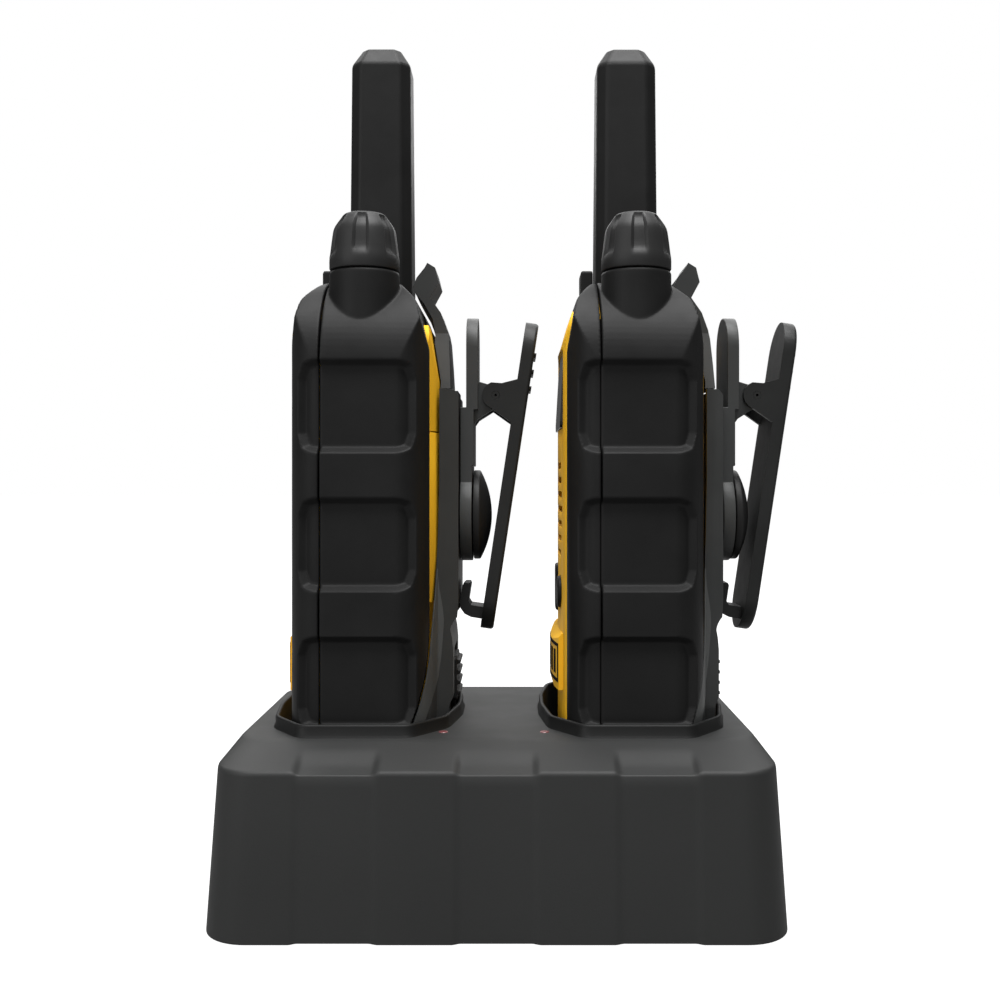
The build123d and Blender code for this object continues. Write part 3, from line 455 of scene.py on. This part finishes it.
def make_strap_rib(n):
    """Stiffening rib along the inside of the release strap."""
    bm = bmesh.new()
    rings_to_mesh(bm, [[(RADIO_X[n] + x, y, STAND + z) for x, z in STRAP_RIB]
                       for y in (-STRAP_RIB_HALF, STRAP_RIB_HALF)])
    finish_piece(f"strap_rib_{n}", bm, f"tab_{n}", [], HOLSTER_PLASTIC)


for n in NUMBERS:
    make_strap_rib(n)


# ---------------------------------------------------------------- dock shell
DOCK_PROFILE = [  # half length, half depth, corner radius, height
    (62.0, 46.9, 8.2, 0.3),
    (64.3, 49.2, 10.5, 0.3),
    (62.2, 46.2, 9.5, 36.4),
    (59.2, 33.2, 9.0, 40.8),
    (55.0, 28.0, 6.0, 40.8),
]
DOCK_ROUND = (0.0, 0.5, 0.9, 1.6, 0.0)  # how much of each profile point is rounded off
PANEL_X = (-35.0, 0.0, 35.0)
PANEL_HALF = 9.6
PANEL_RAMP = 2.0
PANEL_DEEP = 0.28
PANEL_START = 37.5  # half depth on the bevel where a panel begins, and over how much it deepens
PANEL_RISE = 4.9
NOTCH_DEEP = 0.9
NOTCH_START = 34.5  # height from which a panel deepens into a notch
NOTCH_RISE = 2.4
CORNER_REACH = 0.45  # a rounded corner takes at most this part of its two sides
ON_SIDE = 0.01  # a point this near to a long side's plane belongs to it
PROFILE_STEPS = 8
PROFILE_GAP = 1.2
DOCK_SMOOTH = 50.0


def lerp(a, b, t):
    """Point on the way from a to b."""
    return tuple(p + (q - p) * t for p, q in zip(a, b))


def profile_gap(a, b):
    """Distance between two points of the dock's profile, in half depth and height."""
    return math.dist(a[1:4:2], b[1:4:2])


def rounded_profile(points, rounds, steps):
    """Walk the profile, replacing each corner by a short curve."""
    out = [points[0]]
    for a, b, c, r in zip(points, points[1:], points[2:], rounds[1:]):
        before = profile_gap(a, b) or 1.0
        after = profile_gap(b, c) or 1.0
        start = lerp(b, a, min(r / before, CORNER_REACH))
        end = lerp(b, c, min(r / after, CORNER_REACH))
        for k in range(steps + 1):
            t = k / steps
            out.append(lerp(lerp(start, b, t), lerp(b, end, t), t))
    out.append(points[-1])
    return out


def subdivided(points, gap):
    """The same profile with no two points further apart than the gap."""
    out = []
    for a, b in zip(points, points[1:]):
        count = max(1, math.ceil(profile_gap(a, b) / gap))
        out += [lerp(a, b, k / count) for k in range(count)]
    return out + [points[-1]]


INNER_RUN = 46.0  # up to here every ring has the same stations
INNER_STEPS = 46
OUTER_STEPS = 4
CLOSE_STEPS = 6
CLOSE_GAP = 0.5
LEAST_GAP = 0.24
SHORT_STEPS = 40
CORNER_STEPS = 14


def ring_stations():
    """Fixed places along the long sides, close-set at the panels' edges."""
    xs = {round(-INNER_RUN + 2 * INNER_RUN * k / INNER_STEPS, 3) for k in range(INNER_STEPS + 1)}
    for x in PANEL_X:
        for end in (x - PANEL_HALF, x + PANEL_HALF):
            for step in range(-CLOSE_STEPS, CLOSE_STEPS + 1):
                xs.add(round(end + CLOSE_GAP * step, 3))
    kept = []
    for x in sorted(xs):
        if abs(x) <= INNER_RUN and (not kept or x - kept[-1] > LEAST_GAP):
            kept.append(x)
    return kept


def dock_ring(half_x, half_y, corner, z, spots):
    """One ring of the dock: two long sides at fixed stations, two short sides and four corners."""
    run = half_x - corner
    beyond = [INNER_RUN + (run - INNER_RUN) * k / OUTER_STEPS for k in range(1, OUTER_STEPS + 1)]
    long_side = [-x for x in reversed(beyond)] + list(spots) + beyond
    short = [-1 + 2 * k / SHORT_STEPS for k in range(1, SHORT_STEPS)]
    arc = [math.pi / 2 * k / CORNER_STEPS for k in range(1, CORNER_STEPS)]
    deep = half_y - corner
    ring = [(x, -half_y, z) for x in long_side]
    ring += [(run + corner * math.sin(a), -deep - corner * math.cos(a), z) for a in arc]
    ring += [(half_x, -deep, z)] + [(half_x, s * deep, z) for s in short] + [(half_x, deep, z)]
    ring += [(run + corner * math.cos(a), deep + corner * math.sin(a), z) for a in arc]
    ring += [(x, half_y, z) for x in reversed(long_side)]
    ring += [(-run - corner * math.sin(a), deep + corner * math.cos(a), z) for a in arc]
    ring += [(-half_x, deep, z)] + [(-half_x, -s * deep, z) for s in short] + [(-half_x, -deep, z)]
    ring += [(-run - corner * math.cos(a), -deep - corner * math.sin(a), z) for a in arc]
    return ring


def panel_dent(x, half_y, z):
    """How far the surface is pushed in at one point of the front or back."""
    across = max(band(x, c - PANEL_HALF, c + PANEL_HALF, PANEL_RAMP) for c in PANEL_X)
    down = min(max((half_y - PANEL_START) / PANEL_RISE, 0.0), 1.0)
    deep = PANEL_DEEP + (NOTCH_DEEP - PANEL_DEEP) * smooth_step((z - NOTCH_START) / NOTCH_RISE)
    return deep * across * down


def make_dock_shell():
    """Outside of the dock, in rings from foot to top, with panels pressed into the long sides."""
    bm = bmesh.new()
    spots = ring_stations()
    profile = subdivided(rounded_profile(DOCK_PROFILE, DOCK_ROUND, PROFILE_STEPS), PROFILE_GAP)
    rings = []
    for k, (half_x, half_y, corner, z) in enumerate(profile):
        before = profile[max(k - 1, 0)]
        after = profile[min(k + 1, len(profile) - 1)]
        rise, run = after[3] - before[3], before[1] - after[1]
        size = math.hypot(rise, run) or 1.0
        inward = (rise / size, run / size)
        ring = []
        for x, y, height in dock_ring(half_x, half_y, corner, z, spots):
            if abs(abs(y) - half_y) < ON_SIDE and k > 0:
                dent = panel_dent(x, half_y, height)
                y -= math.copysign(dent * inward[0], y)
                height -= dent * inward[1]
            ring.append((x, y, height))
        rings.append(ring)
    rings_to_mesh(bm, rings)
    return finish_piece("dock_cover", bm, "dock", ["dock_shell"], DOCK_PLASTIC,
                        DOCK_SMOOTH)


POCKET_PLAN = [(-22.8, 6.0), (-20.9, 21.5), (-13.4, 32.1), (11.9, 32.1), (20.0, 21.5), (22.6, 6.0)]
POCKET_CORNER = 2.2
CORNER_POINTS = 5
LEAST_MITRE = 0.2  # keeps a sharp corner from running away when the plan is moved in
# Distance in from the pocket's plan, and height: the rim's outside, its rounded lip, the well.
POCKET_ROWS = [(-0.6, 40.2), (-0.35, 41.0), (0.0, 41.4), (0.0, 43.2), (0.12, 43.52), (0.38, 43.7),
               (0.75, 43.7), (0.98, 43.55), (1.1, 43.25), (1.1, 24.2), (1.6, 23.7)]


def pocket_plan(inset):
    """Plan of a pocket, moved in on every side."""
    whole = [Vector(p) for p in POCKET_PLAN + [(x, -y) for x, y in reversed(POCKET_PLAN)]]
    out = []
    count = len(whole)
    for k in range(count):
        a, b, c = whole[k - 1], whole[k], whole[(k + 1) % count]
        first = (b - a).normalized()
        second = (c - b).normalized()
        normal_1 = Vector((first.y, -first.x))
        normal_2 = Vector((second.y, -second.x))
        middle = (normal_1 + normal_2).normalized()
        out.append(b + middle * inset / max(middle.dot(normal_1), LEAST_MITRE))
    return out


def smooth_plan(points):
    """Round the plan's corners."""
    out = []
    count = len(points)
    for k in range(count):
        a, b, c = points[k - 1], points[k], points[(k + 1) % count]
        start = b.lerp(a, min(POCKET_CORNER / (b - a).length, CORNER_REACH))
        end = b.lerp(c, min(POCKET_CORNER / (c - b).length, CORNER_REACH))
        for j in range(CORNER_POINTS + 1):
            t = j / CORNER_POINTS
            out.append(start.lerp(b, t).lerp(b.lerp(end, t), t))
    return out


def pocket_outline(n, inset):
    """Rounded plan of one pocket in the dock's frame, moved in on every side."""
    return [(RADIO_X[n] + p.x, p.y) for p in smooth_plan(pocket_plan(inset))]


def make_pocket(n):
    """Rim and well of one pocket, with its softly rounded lip."""
    bm = bmesh.new()
    rings = [[(x, y, z) for x, y in pocket_outline(n, inset)] for inset, z in POCKET_ROWS]
    rings_to_mesh(bm, rings, close_first=False)
    # The rim and well wear the darker dock plastic, which is painted shade.
    finish_piece(f"pocket_{n}", bm, "dock", [], POCKET_SHADE_PLASTIC, DOCK_SMOOTH)


WELL_INSET = 0.35
WELL_Z = (22.0, 60.0)
INLET_PLAN = [(-5.5, 37.0), (5.5, 37.0), (5.5, 60.0), (-5.5, 60.0)]
INLET_Z = (9.3, 14.7)


def cutter_prism(name, plan, heights):
    """Upright prism that is only there to cut."""
    bm = bmesh.new()
    rings_to_mesh(bm, [[(x, y, z) for x, y in plan] for z in heights])
    bmesh.ops.recalc_face_normals(bm, faces=bm.faces)
    cutter = bpy.data.objects.new(name, mesh_in_metres(name, bm))
    bpy.context.collection.objects.link(cutter)
    return cutter


def cut_and_apply(piece, cutters):
    """Cut pieces out of a mesh and keep the result as its mesh."""
    for cutter in cutters:
        cut = piece.modifiers.new("cut", "BOOLEAN")
        cut.operation = "DIFFERENCE"
        cut.solver = "EXACT"
        cut.object = cutter
    graph = bpy.context.evaluated_depsgraph_get()
    whole = bpy.data.meshes.new_from_object(piece.evaluated_get(graph))
    piece.modifiers.clear()
    piece.data = whole
    for cutter in cutters:
        bpy.data.objects.remove(cutter, do_unlink=True)


dock = make_dock_shell()
hollows = [cutter_prism(f"well_{n}", pocket_outline(n, WELL_INSET), WELL_Z) for n in NUMBERS]
hollows.append(cutter_prism("inlet_cut", INLET_PLAN, INLET_Z))
cut_and_apply(dock, hollows)
# The large flats keep an even shade beside the rounded edges.
even = dock.modifiers.new("normals", "WEIGHTED_NORMAL")
even.keep_sharp = True
even.weight = 90
for n in NUMBERS:
    make_pocket(n)


# ---------------------------------------------------------------- floor, light, camera
FLOOR_GLOW = (0.35, 1.12)
WORLD_GLOW = (0.12, 1.0)
FLOOR_REACH = 6000.0
FLOOR_DROP = 0.05


def bright_to_camera(nodes, links, strength, glow):
    """Make a strength low for the rays that light the set and high for the camera's own rays."""
    rays = nodes.new("ShaderNodeLightPath")
    level = nodes.new("ShaderNodeMapRange")
    level.inputs["To Min"].default_value = glow[0]
    level.inputs["To Max"].default_value = glow[1]
    links.new(rays.outputs["Is Camera Ray"], level.inputs["Value"])
    links.new(level.outputs["Result"], strength)


def stage_material():
    """Pale floor that looks white and sends little light back up."""
    made = bpy.data.materials.new("pale_floor")
    made.use_nodes = True
    nodes, links = made.node_tree.nodes, made.node_tree.links
    surface = nodes["Principled BSDF"]
    place = nodes.new("ShaderNodeTexCoord")
    cloud = nodes.new("ShaderNodeTexNoise")
    cloud.inputs["Scale"].default_value = 6.0
    tone = nodes.new("ShaderNodeValToRGB")
    tone.color_ramp.elements[0].color = (0.90, 0.90, 0.90, 1)
    tone.color_ramp.elements[1].color = (0.93, 0.93, 0.93, 1)
    links.new(place.outputs["Object"], cloud.inputs["Vector"])
    links.new(cloud.outputs["Fac"], tone.inputs["Fac"])
    links.new(tone.outputs["Color"], surface.inputs["Emission Color"])
    bright_to_camera(nodes, links, surface.inputs["Emission Strength"], FLOOR_GLOW)
    surface.inputs["Base Color"].default_value = (0.12, 0.12, 0.12, 1)
    surface.inputs["Roughness"].default_value = 0.9
    surface.inputs["Specular IOR Level"].default_value = 0.1
    return made


def make_floor():
    """Wide floor just under the dock's feet."""
    bm = bmesh.new()
    signs = ((-1, -1), (1, -1), (1, 1), (-1, 1))
    bm.faces.new([bm.verts.new((x * FLOOR_REACH, y * FLOOR_REACH, -FLOOR_DROP)) for x, y in signs])
    mesh = mesh_in_metres("floor", bm)
    mesh.materials.append(stage_material())
    floor = bpy.data.objects.new("floor", mesh)
    bpy.context.collection.objects.link(floor)


def area_light(name, place, target, size, power):
    """Square lamp that faces its target."""
    data = bpy.data.lights.new(name, "AREA")
    data.shape = "RECTANGLE"
    data.size = size
    data.size_y = size
    data.energy = power
    lamp = bpy.data.objects.new(name, data)
    lamp.location = place
    lamp.rotation_euler = (Vector(target) - Vector(place)).to_track_quat("-Z", "Y").to_euler()
    bpy.context.collection.objects.link(lamp)


def make_world():
    """White surroundings that light the set only a little."""
    world = bpy.data.worlds.new("studio")
    bpy.context.scene.world = world
    world.use_nodes = True
    nodes, links = world.node_tree.nodes, world.node_tree.links
    back = nodes["Background"]
    back.inputs["Color"].default_value = (1, 1, 1, 1)
    bright_to_camera(nodes, links, back.inputs["Strength"], WORLD_GLOW)


def make_camera():
    """Level camera in front of the set, shifted as in the photograph."""
    data = bpy.data.cameras.new("camera")
    data.lens = 41.6
    data.sensor_width = 36.0
    data.shift_x = -0.015
    data.shift_y = -0.022
    data.clip_start = 0.01
    data.clip_end = 50.0
    camera = bpy.data.objects.new("camera", data)
    camera.location = (0.004, -0.2954, 0.100)
    camera.rotation_euler = (math.pi / 2, 0, 0)
    bpy.context.collection.objects.link(camera)
    bpy.context.scene.camera = camera


make_floor()
make_world()
area_light("key", (0.04, -0.20, 0.88), (0, 0, 0.08), 0.6, 16.5)
area_light("top", (0.0, 0.60, 0.82), (0, 0, 0.05), 1.2, 11.5)
area_light("fill", (0.05, -1.0, 0.30), (0, 0, 0.10), 0.6, 1.2)
area_light("side", (-0.60, -0.55, 0.35), (0, 0, 0.12), 0.5, 2.6)
make_camera()
bpy.context.scene.view_settings.view_transform = "Standard"
